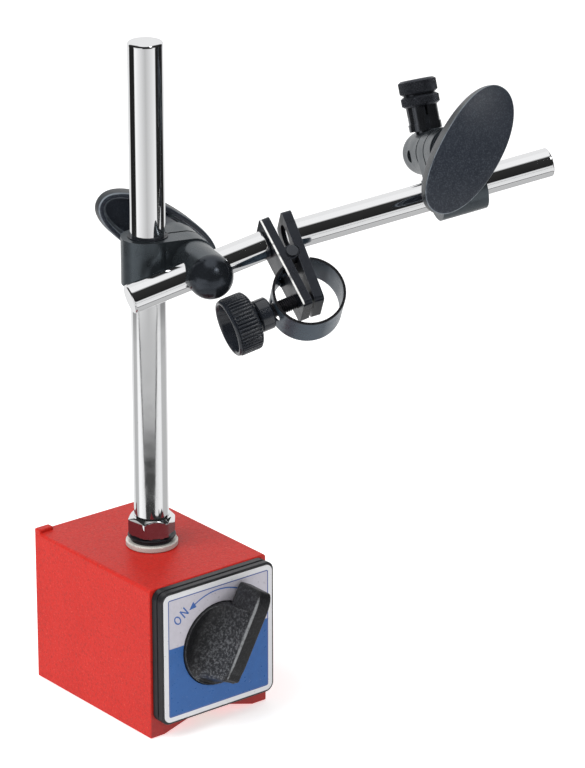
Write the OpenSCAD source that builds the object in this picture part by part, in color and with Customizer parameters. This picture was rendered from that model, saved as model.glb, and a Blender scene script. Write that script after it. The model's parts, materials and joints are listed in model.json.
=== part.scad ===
// Magnetic base stand with a fine-adjustment arm and a stem holder for a dial indicator.
// Millimetres, +Z up, origin at the centre of the base's underside, switch on the -Y face.

/* [Magnet base] */
// Width of the magnet block across the switch face (X)
base_w = 50; // [46:1:60]
// Length of the magnet block from switch face to rear (Y)
base_l = 63; // [58:1:75]
// Height of the magnet block
base_h = 55; // [53:1:60]
// Width of the V groove between the two feet
groove_w = 38; // [30:1:40]
// Depth of the V groove at its apex
groove_h = 5.5; // [4:0.5:6]
// Depth of the black switch bezel on the front face
bezel_t = 5.7; // [5:0.1:7]
// Diameter of the turning magnet core
rotor_d = 28; // [26:0.5:28]
// Height of the switch shaft above the resting plane
switch_z = 30.8; // [30:0.1:31]

/* [Switch] */
// Diameter of the dished switch dial
dial_d = 29.6; // [28:0.2:30]
// Length of the switch handle from the shaft to its far end
handle_reach = 22.5; // [20:0.5:25]
// Thickness of the switch handle
handle_t = 6; // [5:0.5:8]
// Angle of the switch handle from upright in the off position
handle_angle = 28; // [20:1:35]

/* [Column] */
// Diameter of the column
column_d = 12; // [12:0.5:12.5]
// Height of the column's top above the resting plane
column_top = 234; // [210:1:260]

/* [Arms] */
// Diameter of both arm rods
arm_d = 10; // [9.5:0.1:10]
// Length of the first rod behind the column clamp
arm_tail = 27; // [22:1:40]
// Length of the second rod, from its plate to its free end
rod_reach = 92.3; // [85:0.1:130]
// Height of the column clamp above the resting plane
clamp_z = 158.5; // [130:0.5:170]
// Swivel of the column clamp about the column
clamp_swivel = 16.7; // [0:0.1:40]
// Upward tilt of the first rod
arm_tilt = 15; // [5:0.5:25]
// Roll of the fine-adjustment plates about the first rod
plate_roll = 45.1; // [30:0.1:60]
// Downward set of the second rod at the fine-adjustment hinge
fine_set = 6.3; // [5.5:0.1:6.5]
// Distance of the holder from the hinge along the second rod
holder_x = 63; // [50:1:75]
// Roll of the holder about the second rod
holder_roll = 25.7; // [15:0.1:35]
// Lean of the stem holder along the second rod
stem_lean = 4.2; // [0:0.1:15]

/* [Clamps] */
// Radius of the split collars
collar_r = 9.15; // [9.1:0.05:9.5]
// Radius of the clamp boss
boss_r = 8.2; // [8:0.1:8.6]
// Distance between rod centre and clamp bolt centre
boss_offset = 13; // [12.9:0.1:13.5]
// Length of the oval clamp knob
wing_l = 48.5; // [40:0.5:52]
// Width of the oval clamp knob
wing_w = 20; // [19:0.5:24]

/* [Stem holder] */
// Bore for the indicator stem
stem_d = 8; // [6:0.5:8]

/* [Hidden] */
$fn = 64;

gap = 0.05;                 // radial clearance of a running fit
block_y = base_l / 2;
bore_r = rotor_d / 2 + 0.1;
bridge_w = 14;              // brass bridge under the column
strip_w = 6;                // brass strip over the groove
edge_c = 0.7;
bezel_w = base_w - 2;
bezel_z0 = 6.2;
bezel_h = base_h - bezel_z0 - 0.3;
foot_x = (base_w + groove_w) / 4;   // middle of a foot
bezel_y = -block_y - bezel_t;
label_t = 0.6;
rear_t = 3;
rotor_y0 = -block_y + 1.5;
rotor_y1 = block_y - 1.5;
magnet_w = 15;
shaft_r = 4.5;
tang_y = -block_y - 8.5;
tang_w = 8;
tang_t = 3;
pin_y = -block_y - 5.5;
dial_y = -block_y - 0.4;
dial_t = 6;
handle_front = 14;          // handle height in front of the label
handle_tail = 10.5;
column_r = column_d / 2;
stud_r = 4;
washer_r = 9;
washer_t = 2.2;
spring_t = 1.4;
nut_af = 16;
nut_h = 7.5;
arm_r = arm_d / 2;
liner_t = 0.85;
collar_h = 16.4;
boss_l = 17;
slit = 1;
bolt_r = 3;
sleeve_r = 7.65;
cup_r = 6.5;
head_r = 6.4;
arm_out = boss_l / 2 + 8.93;
dome_y = boss_l / 2 + 16;
spacer_t = 3;
hub_l = 13;
hub_r = 6.6;
wing_t = 9.5;
insert_r = 4.8;
plate_t = 3.3;
plate_w = 15;
plate_x = 23.25;
plate_top = 6.5;
plate_l = 34.1;
hinge_x = 28.1;
hinge_z = -8.5;
knuckle_r = 2.4;
knuckle_w = 5.2;
pin_r = 1.5;
plate_gap = 1.4;            // hinge axis to the second plate's inner face
spigot_r = 3.4;
screw_z = -22.6;
screw_r = 2.4;
screw_tip = 27.72;
thrust_x = 8.9;
thrust_l = 4.8;
thrust_r = 5.5;
neck_r = 3.6;
thumb_x = -1.8;
thumb_l = 9.6;
thumb_r = 10;
thumb_ribs = 48;
band_r = 12.3;
band_t = 0.9;
band_w = 13.3;
band_x = 27.3;
band_z = -23.4;
rivet_r = 1.3;
rivet_z = 10.1;
stem_r = stem_d / 2;
post_r = 3.9;
barrel_r = 5.4;
flange_r = 5.7;
knurl_r = 6.6;
knurls = 36;

// ---------- frames ----------

module at_clamp() {
    translate([0, 0, clamp_z]) rotate([0, 0, -clamp_swivel]) children();
}

module at_arm() {
    at_clamp() translate([boss_offset, -arm_out, 0]) rotate([0, -arm_tilt, 0]) children();
}

module at_plates() {
    at_arm() rotate([-plate_roll, 0, 0]) children();
}

module at_hinge() {
    at_plates() translate([hinge_x, 0, hinge_z]) rotate([0, fine_set, 0]) children();
}

// Z runs along the second rod, X from the rod to the clamp bolt, Y towards the knob.
module at_holder() {
    at_hinge() translate([holder_x, 0, -hinge_z]) rotate([holder_roll, 0, 0])
        rotate([180, -90, 0]) children();
}

module at_stem() {
    at_holder() translate([boss_offset, -arm_out - spacer_t, 0]) rotate([0, -stem_lean, 0])
        children();
}

// ---------- shared shapes ----------

// Cylinder along X from x0 to x1.
module rod_x(r, x0, x1) {
    translate([x0, 0, 0]) rotate([0, 90, 0]) cylinder(r = r, h = x1 - x0);
}

// Cylinder along Y from y0 to y1.
module rod_y(r, y0, y1) {
    translate([0, y1, 0]) rotate([90, 0, 0]) cylinder(r = r, h = y1 - y0);
}

// Chamfered bar along Z from z0 to z1.
module bar_z(r, z0, z1, c) {
    rotate_extrude() polygon([
        [0, z0], [r - c, z0], [r, z0 + c], [r, z1 - c], [r - c, z1], [0, z1]
    ]);
}

module rounded_rect(w, h, r) {
    union() {
        square([w - 2 * r, h], center = true);
        square([w, h - 2 * r], center = true);
        for (x = [-1, 1], y = [-1, 1])
            translate([x * (w / 2 - r), y * (h / 2 - r)]) circle(r = r, $fn = 32);
    }
}

// Points of an oval slightly fuller than an ellipse.
function oval(a, b, n) = [
    for (i = [0 : n - 1])
        let (t = i * 360 / n, c = cos(t), s = sin(t))
            [a * sign(c) * pow(abs(c), 0.92), b * sign(s) * pow(abs(s), 0.92)]
];

// Outline of a ribbed or knurled ring: n teeth between radii r0 and r1.
function ribs(r0, r1, n) = [
    for (i = [0 : 4 * n - 1])
        let (r = (i % 4 < 2) ? r1 : r0, t = (i + 0.5) * 90 / n)
            [r * cos(t), r * sin(t)]
];

// ---------- magnet base ----------

// Row frame: the origin is the middle of one foot, on the table.
module at_row() {
    translate([-foot_x, 0, 0]) children();
}

module block_profile() {
    x = base_w / 2;
    polygon([
        [-x, 0], [-groove_w / 2, 0], [0, groove_h], [groove_w / 2, 0], [x, 0],
        [x, base_h - edge_c], [x - edge_c, base_h], [-x + edge_c, base_h],
        [-x, base_h - edge_c]
    ]);
}

module block() {
    difference() {
        translate([0, block_y, 0]) rotate([90, 0, 0]) linear_extrude(base_l) block_profile();
        translate([0, 0, switch_z]) rod_y(bore_r, -block_y - 1, block_y + 1);
    }
}

module stud_hole() {
    translate([0, 0, base_h - 8.6]) cylinder(r = stud_r + gap, h = 20);
}

module screw_holes(x, z0, z1, depth, y, dir) {
    for (sx = [-1, 1], z = [z0, z1])
        translate([sx * x, 0, z])
            rod_y(1.5, min(y, y + dir * depth), max(y, y + dir * depth));
}

module pole(side) {
    difference() {
        block();
        translate([side < 0 ? 0 : -base_w, -base_l, -1]) cube([base_w, 2 * base_l, base_h + 2]);
        translate([-bridge_w / 2, -base_l, switch_z])
            cube([bridge_w, 2 * base_l, base_h]);
        translate([-strip_w / 2, -base_l, -1]) cube([strip_w, 2 * base_l, switch_z]);
        screw_holes(20, 12, 48, 8, -block_y, 1);
        screw_holes(20, 12, 48, 8, block_y, -1);
    }
}

module pole_left() {
    color("#c4342c") at_row() pole(-1);
}

module pole_right() {
    color("#c4342c") at_row() pole(1);
}

module spacer_top() {
    color("#b8963e") at_row() difference() {
        intersection() {
            block();
            translate([-bridge_w / 2, -block_y, switch_z]) cube([bridge_w, base_l, base_h]);
        }
        stud_hole();
    }
}

module spacer_bottom() {
    color("#b8963e") at_row() intersection() {
        block();
        translate([-strip_w / 2, -block_y, 0]) cube([strip_w, base_l, switch_z - 5]);
    }
}

// Black surround of the switch, hollow behind the dial.
module front_bezel() {
    zc = bezel_z0 + bezel_h / 2;
    color("#1c1d20") at_row() difference() {
        translate([0, -block_y, zc]) rotate([90, 0, 0])
            linear_extrude(bezel_t) rounded_rect(bezel_w, bezel_h, 3);
        translate([0, 0, switch_z]) rod_y(dial_d / 2 + 0.35, bezel_y - 1, -block_y + 1);
        translate([0, bezel_y - 0.01, zc]) rotate([-90, 0, 0])
            linear_extrude(label_t) rounded_rect(bezel_w - 1.6, bezel_h - 1.6, 2.4);
        for (x = [-20, 20], z = [12, 48])
            translate([x, 0, z]) {
                rod_y(1.6, bezel_y - 1, -block_y + 1);
                rod_y(2.9, bezel_y - 1, bezel_y + 2.6);
            }
    }
}

module pan_screw(head_h, head_radius, length) {
    difference() {
        union() {
            rod_y(head_radius, -head_h, 0);
            rod_y(1.45, -0.01, length);
        }
        translate([-head_radius, -head_h - 0.01, -0.4]) cube([2 * head_radius, 0.9, 0.8]);
        translate([-0.4, -head_h - 0.01, -head_radius]) cube([0.8, 0.9, 2 * head_radius]);
    }
}

// Four screws under the label that hold the bezel.
module bezel_screw() {
    color("#8d8f92") at_row() for (x = [-20, 20], z = [12, 48])
        translate([x, bezel_y + 2.6, z]) pan_screw(1.8, 2.7, 9);
}

module label_plate() {
    zc = bezel_z0 + bezel_h / 2;
    color("#b9bcc4") at_row() difference() {
        translate([0, bezel_y + label_t - 0.02, zc]) rotate([90, 0, 0])
            linear_extrude(label_t) rounded_rect(bezel_w - 1.7, bezel_h - 1.7, 2.35);
        translate([0, 0, switch_z]) rod_y(dial_d / 2 + 0.35, bezel_y - 1, -block_y);
    }
}

// Rear plate with two corner lugs and the bearing for the core's tail.
module rear_cover() {
    color("#c4342c") at_row() difference() {
        union() {
            translate([0, block_y + rear_t, 0]) rotate([90, 0, 0])
                linear_extrude(rear_t) block_profile();
            for (side = [-1, 1])
                translate([side * (base_w / 2 - 3), block_y + rear_t / 2, base_h])
                    cube([6, rear_t, 2.4], center = true);
        }
        translate([0, 0, switch_z]) rod_y(shaft_r + gap, block_y - 1, block_y + 1.9);
        for (x = [-20, 20], z = [12, 48])
            translate([x, 0, z]) rod_y(1.6, block_y - 1, block_y + 5);
    }
}

module cover_screw() {
    color("#8d8f92") at_row() for (x = [-20, 20], z = [12, 48])
        translate([x, block_y + rear_t, z]) rotate([0, 0, 180]) pan_screw(1.7, 2.7, 9);
}

// ---------- turning core ----------

module rotor_envelope() {
    translate([0, 0, switch_z]) rod_y(rotor_d / 2, rotor_y0, rotor_y1);
}

// Flat blade that drives the switch knob, in line with its handle.
module tang(clearance) {
    rotate([0, handle_angle, 0])
        translate([-tang_t / 2 - clearance, tang_y - clearance, -tang_w / 2 - clearance])
            cube([tang_t + 2 * clearance, rotor_y0 - tang_y + 1, tang_w + 2 * clearance]);
}

// Non-magnetic carrier: end discs, drive blade and two side segments.
module rotor_core() {
    color("#a7a9ad") at_row() difference() {
        union() {
            rotor_envelope();
            translate([0, 0, switch_z]) {
                rod_y(shaft_r, rotor_y1 - 0.01, block_y + 1.6);
                tang(0);
            }
        }
        translate([-rotor_d, rotor_y0 + 3, switch_z - magnet_w / 2])
            cube([2 * rotor_d, rotor_y1 - rotor_y0 - 6, magnet_w]);
        translate([0, pin_y, switch_z]) rotate([0, handle_angle, 0]) rod_x(1, -10, 10);
    }
}

module rotor_magnet() {
    color("#4b4c50") at_row() translate([-7, rotor_y0 + 3, switch_z - magnet_w / 2])
        cube([14, rotor_y1 - rotor_y0 - 6, magnet_w]);
}

// Soft-iron shoes that carry the flux from the magnet to the poles.
module rotor_shoe() {
    color("#77797c") at_row() intersection() {
        rotor_envelope();
        for (side = [-1, 1])
            translate([side * 10.5 - 3.5, rotor_y0 + 3, switch_z - magnet_w / 2])
                cube([7, rotor_y1 - rotor_y0 - 6, magnet_w]);
    }
}

module handle_profile() {
    t = handle_t / 2;
    polygon([
        [-t * 0.85, -handle_tail], [t * 0.85, -handle_tail],
        [t, handle_reach - 1.6], [t - 1.2, handle_reach],
        [-t + 1.2, handle_reach], [-t, handle_reach - 1.6]
    ]);
}

module handle_side() {
    f = bezel_y - handle_front;
    polygon([
        [dial_y - 3, -handle_tail], [f + 3, -handle_tail], [f + 0.6, -handle_tail + 4],
        [f, handle_reach - 5], [f + 1.6, handle_reach], [bezel_y - 1.4, handle_reach],
        [bezel_y - 1.0, dial_d / 2 - 1.2], [dial_y - 3, dial_d / 2 - 1.2]
    ]);
}

// Dished dial with a tall handle that overhangs the label.
module switch_knob() {
    color("#17181b") at_row() translate([0, 0, switch_z]) difference() {
        rotate([0, handle_angle, 0]) union() {
            difference() {
                rod_y(dial_d / 2, dial_y - dial_t, dial_y);
                translate([0, dial_y - dial_t - 26.4, 0]) sphere(r = 30, $fn = 96);
            }
            intersection() {
                translate([0, dial_y, 0]) rotate([90, 0, 0]) linear_extrude(40)
                    handle_profile();
                translate([-10, 0, 0]) rotate([90, 0, 90]) linear_extrude(20) handle_side();
            }
        }
        tang(0.02);
        translate([0, pin_y, 0]) rotate([0, handle_angle, 0]) rod_x(1.01, -10, 10);
    }
}

// Cross pin through the handle and the drive blade.
module knob_pin() {
    color("#8d8f92") at_row() translate([0, pin_y, switch_z]) rotate([0, handle_angle, 0])
        rod_x(0.99, -2.9, 2.9);
}

// ---------- column ----------

module column() {
    color("#d8dade") at_row() union() {
        bar_z(column_r, base_h + washer_t + spring_t + 2, column_top, 1);
        translate([0, 0, base_h - 8.2]) cylinder(r = stud_r, h = washer_t + spring_t + 10.3);
    }
}

module column_washer() {
    color("#d8dade") at_row() translate([0, 0, base_h]) difference() {
        bar_z(washer_r, 0, washer_t, 0.4);
        translate([0, 0, -1]) cylinder(r = stud_r + 0.15, h = washer_t + 2);
    }
}

module lock_washer() {
    color("#3a3b3e") at_row() translate([0, 0, base_h + washer_t]) difference() {
        cylinder(r = 7.4, h = spring_t);
        translate([0, 0, -1]) cylinder(r = stud_r + 0.15, h = spring_t + 2);
        translate([0, -0.6, -1]) cube([20, 1.2, spring_t + 2]);
    }
}

// Hexagon collar nut around the column's foot.
module column_nut() {
    z0 = base_h + washer_t + spring_t;
    color("#d8dade") at_row() translate([0, 0, z0]) difference() {
        intersection() {
            cylinder(r = nut_af / 2 / cos(30), h = nut_h, $fn = 6);
            rotate_extrude() polygon([
                [0, 0], [8.6, 0], [9.3, 0.6], [9.3, nut_h - 1.4], [7.4, nut_h], [0, nut_h]
            ]);
        }
        translate([0, 0, -1]) cylinder(r = stud_r + 0.1, h = nut_h + 2);
        translate([0, 0, 1.9]) cylinder(r = column_r + 0.1, h = nut_h);
    }
}

// ---------- split clamps, drawn with the rod along Z ----------

module liner(rod_radius) {
    difference() {
        cylinder(r = rod_radius + liner_t, h = collar_h + 0.6, center = true);
        cylinder(r = rod_radius + gap, h = collar_h + 4, center = true);
        translate([0, -0.4, -collar_h]) cube([20, 0.8, 2 * collar_h]);
    }
}

module split_body(rod_radius) {
    difference() {
        union() {
            cylinder(r = collar_r, h = collar_h, center = true);
            translate([boss_offset, 0, 0]) rod_y(boss_r, -boss_l / 2, boss_l / 2);
            translate([boss_offset / 2 + 1, 0, 0])
                cube([boss_offset - 2, boss_l, collar_h], center = true);
        }
        cylinder(r = rod_radius + liner_t + gap, h = collar_h + 2, center = true);
        translate([rod_radius, -slit / 2, -collar_h]) cube([40, slit, 2 * collar_h]);
        translate([boss_offset, 0, 0]) rod_y(bolt_r + 0.1, -20, 20);
    }
}

// Cup with a domed end; a cross bore takes the gripped rod.
module domed_sleeve(y0, y1) {
    translate([0, -y1, 0]) rotate([90, 0, 0]) rotate_extrude() difference() {
        union() {
            translate([0, -(y1 - y0)]) square([sleeve_r, y1 - y0]);
            intersection() {
                circle(r = sleeve_r);
                square([20, 20]);
            }
        }
        translate([-1, -(y1 - y0) - 1]) square([cup_r + 1, y1 - y0 + 0.6]);
    }
}

// Draw bolt: cross-bored head inside the sleeve, shank through the boss.
module pull_bolt(y0, y1, shank_end) {
    union() {
        rod_y(head_r, -y1 + 1, -y0 - 0.6);
        rod_y(bolt_r, -y0 - 0.7, shank_end);
    }
}

// Oval wing knob on the +Y side: hub, hollow wing and crowned outer face.
module wing_knob(y0, turn) {
    r = 62;
    top = hub_l + wing_t;
    translate([0, y0, 0]) difference() {
        union() {
            rod_y(hub_r, 0, top - 1.5);
            difference() {
                intersection() {
                    translate([0, top, 0]) rotate([90, 0, 0]) linear_extrude(wing_t)
                        rotate(turn) polygon(oval(wing_l / 2, wing_w / 2, 72));
                    translate([0, top - r, 0]) sphere(r = r, $fn = 96);
                }
                intersection() {
                    translate([0, top - 2.6, 0]) rotate([90, 0, 0])
                        linear_extrude(wing_t) rotate(turn)
                            polygon(oval(wing_l / 2 - 3, wing_w / 2 - 3, 72));
                    translate([0, top - 2.6 - r, 0]) sphere(r = r, $fn = 96);
                }
            }
        }
        rod_y(insert_r, -1, hub_l + 1);
    }
}

module knob_insert(y0) {
    translate([0, y0 + 0.1, 0]) difference() {
        rod_y(insert_r - 0.01, 0, hub_l + 0.8);
        rod_y(bolt_r + gap, -1, hub_l + 2);
    }
}

module thick_washer(y0, t, r) {
    difference() {
        rod_y(r, y0, y0 + t);
        rod_y(bolt_r + 0.1, y0 - 1, y0 + t + 1);
    }
}

// ---------- column clamp ----------

knob_y = boss_l / 2 + spacer_t + 0.1;

module collar_liner() {
    color("#8f9194") at_row() at_clamp() liner(column_r);
}

module clamp_body() {
    color("#1d2026") at_row() at_clamp() split_body(column_r);
}

module arm_sleeve() {
    color("#1d2026") at_row() at_arm() difference() {
        translate([0, arm_out, 0]) domed_sleeve(boss_l / 2 + 0.1, dome_y);
        rod_x(arm_r + gap, -20, 20);
    }
}

module draw_bolt() {
    color("#6f7174") at_row() at_arm() difference() {
        translate([0, arm_out, 0]) pull_bolt(boss_l / 2, dome_y, knob_y + hub_l - 1);
        rod_x(arm_r + 0.55, -20, 20);
    }
}

module clamp_washer() {
    color("#1d2026") at_row() at_clamp() translate([boss_offset, 0, 0])
        thick_washer(boss_l / 2, spacer_t, 7.8);
}

module clamp_knob() {
    color("#1a1c20") at_row() at_clamp() translate([boss_offset, 0, 0]) wing_knob(knob_y, -32.5);
}

module clamp_insert() {
    color("#b8963e") at_row() at_clamp() translate([boss_offset, 0, 0]) knob_insert(knob_y);
}

module arm_rod() {
    color("#d8dade") at_row() at_arm() union() {
        rotate([0, 90, 0]) bar_z(arm_r, -arm_tail, plate_x - 0.05, 0.8);
        rod_x(spigot_r, plate_x - 0.1, plate_x + plate_t - 0.4);
    }
}

// ---------- fine adjustment ----------

module plate(x0, z0, z1) {
    translate([x0, 0, (z0 + z1) / 2]) rotate([90, 0, 90]) linear_extrude(plate_t)
        rounded_rect(plate_w, z1 - z0, 1.6);
}

// Knuckle of the hinge, centred at y, joined to its plate by a web towards dx.
module knuckle(y, w, dx) {
    translate([0, y, 0]) {
        rod_y(knuckle_r, -w / 2, w / 2);
        translate([min(0, dx), -w / 2, -knuckle_r]) cube([abs(dx), w, 2 * knuckle_r]);
    }
}

module left_plate() {
    color("#16181c") at_row() at_plates() difference() {
        union() {
            difference() {
                plate(plate_x, plate_top - plate_l, plate_top);
                translate([hinge_x, 0, hinge_z])
                    rod_y(knuckle_r + 0.25, -knuckle_w / 2 + 0.1, knuckle_w / 2 - 0.1);
            }
            translate([hinge_x, 0, hinge_z]) for (side = [-1, 1])
                knuckle(side * (plate_w / 2 - 2.45), 4.7, plate_x + 1 - hinge_x);
        }
        rod_x(spigot_r + gap, plate_x - 1, plate_x + plate_t + 1);
        translate([0, 0, screw_z]) rod_x(screw_r + gap, plate_x - 1, plate_x + plate_t + 1);
        translate([hinge_x, 0, hinge_z]) rod_y(pin_r + 0.01, -20, 20);
    }
}

module hinge_pin() {
    color("#9b9da1") at_row() at_plates() translate([hinge_x, 0, hinge_z]) union() {
        rod_y(pin_r, -plate_w / 2 - 0.3, plate_w / 2 + 0.3);
        for (side = [-1, 1]) translate([0, side * (plate_w / 2 + 0.5), 0])
            rod_y(1.9, -0.4, 0.4);
    }
}

module right_plate() {
    web = plate_gap + 1;
    color("#16181c") at_row() at_hinge() difference() {
        union() {
            difference() {
                plate(plate_gap, hinge_z + plate_top - plate_l + 17, plate_top + 8.4);
                for (side = [-1, 1])
                    translate([0, side * (plate_w / 2 - 2.3), 0]) rod_y(knuckle_r + 0.25, -3, 2.6);
            }
            knuckle(0, knuckle_w - 0.5, web);
        }
        rod_y(pin_r + gap, -20, 20);
        translate([0, 0, -hinge_z]) {
            rod_x(spigot_r + 0.01, 0, 20);
            rod_x(spigot_r + 0.9, 0, plate_gap + 0.8);
        }
    }
}

module right_rod() {
    color("#d8dade") at_row() at_hinge() translate([0, 0, -hinge_z]) difference() {
        union() {
            rotate([0, 90, 0])
                bar_z(arm_r, plate_gap + plate_t, plate_gap + plate_t + rod_reach, 0.8);
            rod_x(spigot_r, plate_gap + 0.8, plate_gap + plate_t + 0.1);
        }
        translate([plate_gap + 0.7, -0.5, -5]) cube([1.1, 1, 10]);
    }
}

// Open flat ring whose ends bear on the outer faces of the two plates.
module band_spring() {
    color("#202227") at_row() at_plates() translate([band_x, 0, band_z]) difference() {
        rotate([90, 0, 0]) difference() {
            cylinder(r = band_r, h = band_w, center = true);
            cylinder(r = band_r - band_t, h = band_w + 2, center = true);
        }
        translate([plate_x - band_x, -10, 0]) cube([9.6, 20, 20]);
        translate([-20, 0, screw_z - band_z]) rotate([0, 90, 0]) cylinder(r = 4, h = 12);
        translate([-band_x, 0, 0]) rivets(rivet_r + 0.02);
    }
}

module rivets(r) {
    for (side = [-1, 1]) translate([0, side * 4, rivet_z])
        rod_x(r, plate_x - 0.9, plate_x);
}

// Two rivets that tie the ring's end to the first plate.
module spring_rivet() {
    color("#202227") at_row() at_plates() translate([0, 0, band_z]) rivets(rivet_r);
}

module thrust_collar() {
    color("#17181b") at_row() at_plates() translate([0, 0, screw_z]) difference() {
        rotate([0, 90, 0]) bar_z(thrust_r, thrust_x, thrust_x + thrust_l, 0.5);
        rod_x(screw_r + gap, thrust_x - 1, thrust_x + thrust_l + 1);
    }
}

module adjust_screw() {
    color("#1b1c1f") at_row() at_plates() translate([0, 0, screw_z]) union() {
        rod_x(neck_r, thumb_x + thumb_l - 1.2, thrust_x - 0.05);
        rod_x(screw_r, thumb_x + 4, screw_tip - 1);
        rod_x(1.6, screw_tip - 1.01, screw_tip);
    }
}

module thumb_knob() {
    color("#17181b") at_row() at_plates() translate([thumb_x, 0, screw_z]) rotate([0, 90, 0])
        difference() {
            union() {
                linear_extrude(thumb_l - 1.2) polygon(ribs(thumb_r - 0.5, thumb_r, thumb_ribs));
                cylinder(r = thumb_r - 1.6, h = thumb_l);
            }
            translate([0, 0, -1]) cylinder(r = thumb_r - 1.5, h = 4.2);
            cylinder(r = screw_r + 0.01, h = 20);
            translate([0, 0, thumb_l - 1.2]) cylinder(r = neck_r + 0.01, h = 5);
        }
}

// ---------- indicator holder ----------

holder_knob_y = boss_l / 2 + 1.1;
holder_dome = dome_y + spacer_t;

module holder_liner() {
    color("#8f9194") at_row() at_holder() liner(arm_r);
}

module holder_body() {
    color("#1d2026") at_row() at_holder() split_body(arm_r);
}

module holder_washer() {
    color("#1d2026") at_row() at_holder() translate([boss_offset, 0, 0]) {
        thick_washer(-boss_l / 2 - spacer_t + 0.6, spacer_t - 0.6, 7.1);
        thick_washer(boss_l / 2, 1, 7.6);
    }
}

module holder_sleeve() {
    y0 = boss_l / 2 + spacer_t;
    color("#24272c") at_row() at_stem() difference() {
        translate([0, arm_out + spacer_t, 0]) domed_sleeve(y0 + 0.1, holder_dome);
        rod_x(post_r + gap, -20, 20);
        translate([0, 0, -12]) cylinder(r = 2.2, h = 9);
    }
}

module holder_bolt() {
    color("#6f7174") at_row() at_stem() difference() {
        translate([0, arm_out + spacer_t, 0])
            pull_bolt(boss_l / 2 + spacer_t, holder_dome, holder_knob_y + hub_l - 1);
        rod_x(post_r + 0.55, -20, 20);
    }
}

module holder_knob() {
    color("#1a1c20") at_row() at_holder() translate([boss_offset, 0, 0]) wing_knob(holder_knob_y, 45.3);
}

module holder_insert() {
    color("#b8963e") at_row() at_holder() translate([boss_offset, 0, 0]) knob_insert(holder_knob_y);
}

// Post in the sleeve, flange and split barrel for the indicator stem.
module stem_barrel() {
    color("#17181b") at_row() at_stem() difference() {
        union() {
            rod_x(post_r, -9, 8);
            rod_x(flange_r, 7.9, 10.4);
            rod_x(barrel_r, 10.3, 25.4);
            rod_x(5, -10.6, -8.9);
        }
        rod_x(stem_r + 0.03, 11.4, 30);
        translate([13, -10, -0.4]) cube([20, 20, 0.8]);
        translate([13, -0.4, -10]) cube([20, 0.8, 20]);
    }
}

module knurled_ring(x0, x1) {
    translate([x0, 0, 0]) rotate([0, 90, 0]) difference() {
        linear_extrude(x1 - x0) polygon(ribs(knurl_r - 0.35, knurl_r, knurls));
        translate([0, 0, -1]) cylinder(r = barrel_r + gap, h = x1 - x0 + 2);
    }
}

module lock_ring() {
    color("#17181b") at_row() at_stem() knurled_ring(16.2, 20.1);
}

module stem_nut() {
    color("#17181b") at_row() at_stem() difference() {
        union() {
            knurled_ring(21.3, 25.5);
            difference() {
                rod_x(knurl_r - 1, 20.4, 21.4);
                rod_x(barrel_r + gap, 19, 23);
            }
        }
    }
}

// ---------- assembly ----------

pole_left();
pole_right();
spacer_top();
spacer_bottom();
front_bezel();
bezel_screw();
label_plate();
rear_cover();
cover_screw();
rotor_core();
rotor_magnet();
rotor_shoe();
switch_knob();
knob_pin();
column();
column_washer();
lock_washer();
column_nut();
collar_liner();
clamp_body();
arm_sleeve();
draw_bolt();
clamp_washer();
clamp_knob();
clamp_insert();
arm_rod();
left_plate();
hinge_pin();
band_spring();
spring_rivet();
thrust_collar();
adjust_screw();
thumb_knob();
right_plate();
right_rod();
holder_liner();
holder_body();
holder_sleeve();
holder_bolt();
holder_washer();
holder_knob();
holder_insert();
stem_barrel();
lock_ring();
stem_nut();
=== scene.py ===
import json
import math

import bmesh
import bpy
from mathutils import Matrix, Vector


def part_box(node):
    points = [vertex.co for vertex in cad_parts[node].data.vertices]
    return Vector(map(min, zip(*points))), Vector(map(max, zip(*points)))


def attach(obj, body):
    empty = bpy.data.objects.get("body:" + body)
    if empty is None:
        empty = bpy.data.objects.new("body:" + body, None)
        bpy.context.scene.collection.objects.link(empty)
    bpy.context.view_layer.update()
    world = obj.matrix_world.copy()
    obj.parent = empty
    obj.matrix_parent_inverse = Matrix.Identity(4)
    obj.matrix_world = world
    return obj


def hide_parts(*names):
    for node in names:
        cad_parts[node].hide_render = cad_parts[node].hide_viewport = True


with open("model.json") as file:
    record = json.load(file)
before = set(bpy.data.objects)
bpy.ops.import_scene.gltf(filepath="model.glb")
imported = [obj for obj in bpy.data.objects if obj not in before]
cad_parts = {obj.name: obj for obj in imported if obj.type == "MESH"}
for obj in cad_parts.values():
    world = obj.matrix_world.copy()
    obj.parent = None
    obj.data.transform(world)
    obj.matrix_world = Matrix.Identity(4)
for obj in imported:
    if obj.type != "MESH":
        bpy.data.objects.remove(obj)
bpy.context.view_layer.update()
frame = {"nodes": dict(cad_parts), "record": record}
record = frame["record"]
nodes = frame["nodes"]
joints = {j["name"]: j for j in record["behaviour"]["joints"]}

MM = 0.001
BEVEL_ANGLE = 32        # edges sharper than this are broken, in degrees
LATHE_STEPS = 128
CORNER_STEPS = 12
# sign of x, sign of z and start angle of the four corners of a rounded rectangle
QUADRANTS = ((1, 1, 0), (-1, 1, 90), (-1, -1, 180), (1, -1, 270))


# -------------------------------------------- local frames

def axes(origin, x, y, z):
    """Matrix from a local frame in millimetres to the row frame in metres."""
    m = Matrix.Identity(4)
    for i, v in enumerate((x, y, z)):
        for k in range(3):
            m[k][i] = v[k] * MM
    for k in range(3):
        m[k][3] = origin[k]
    return m


def joint_axis(name):
    return Vector(joints[name]["axis"]).normalized()


def joint_pos(name):
    return Vector(joints[name]["pos_m"])


UP = Vector((0, 0, 1))
COLUMN_X = joint_pos("clamp_swivel").x
ROW = axes(Vector((COLUMN_X, 0, 0)), Vector((1, 0, 0)), Vector((0, 1, 0)), UP)

clamp_y = joint_axis("clamp_knob_turn")
clamp_x = clamp_y.cross(UP)
CLAMP = axes(joint_pos("clamp_swivel"), clamp_x, clamp_y, UP)
boss_offset = (joint_pos("clamp_knob_turn") - joint_pos("clamp_swivel")).dot(clamp_x) / MM

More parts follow.
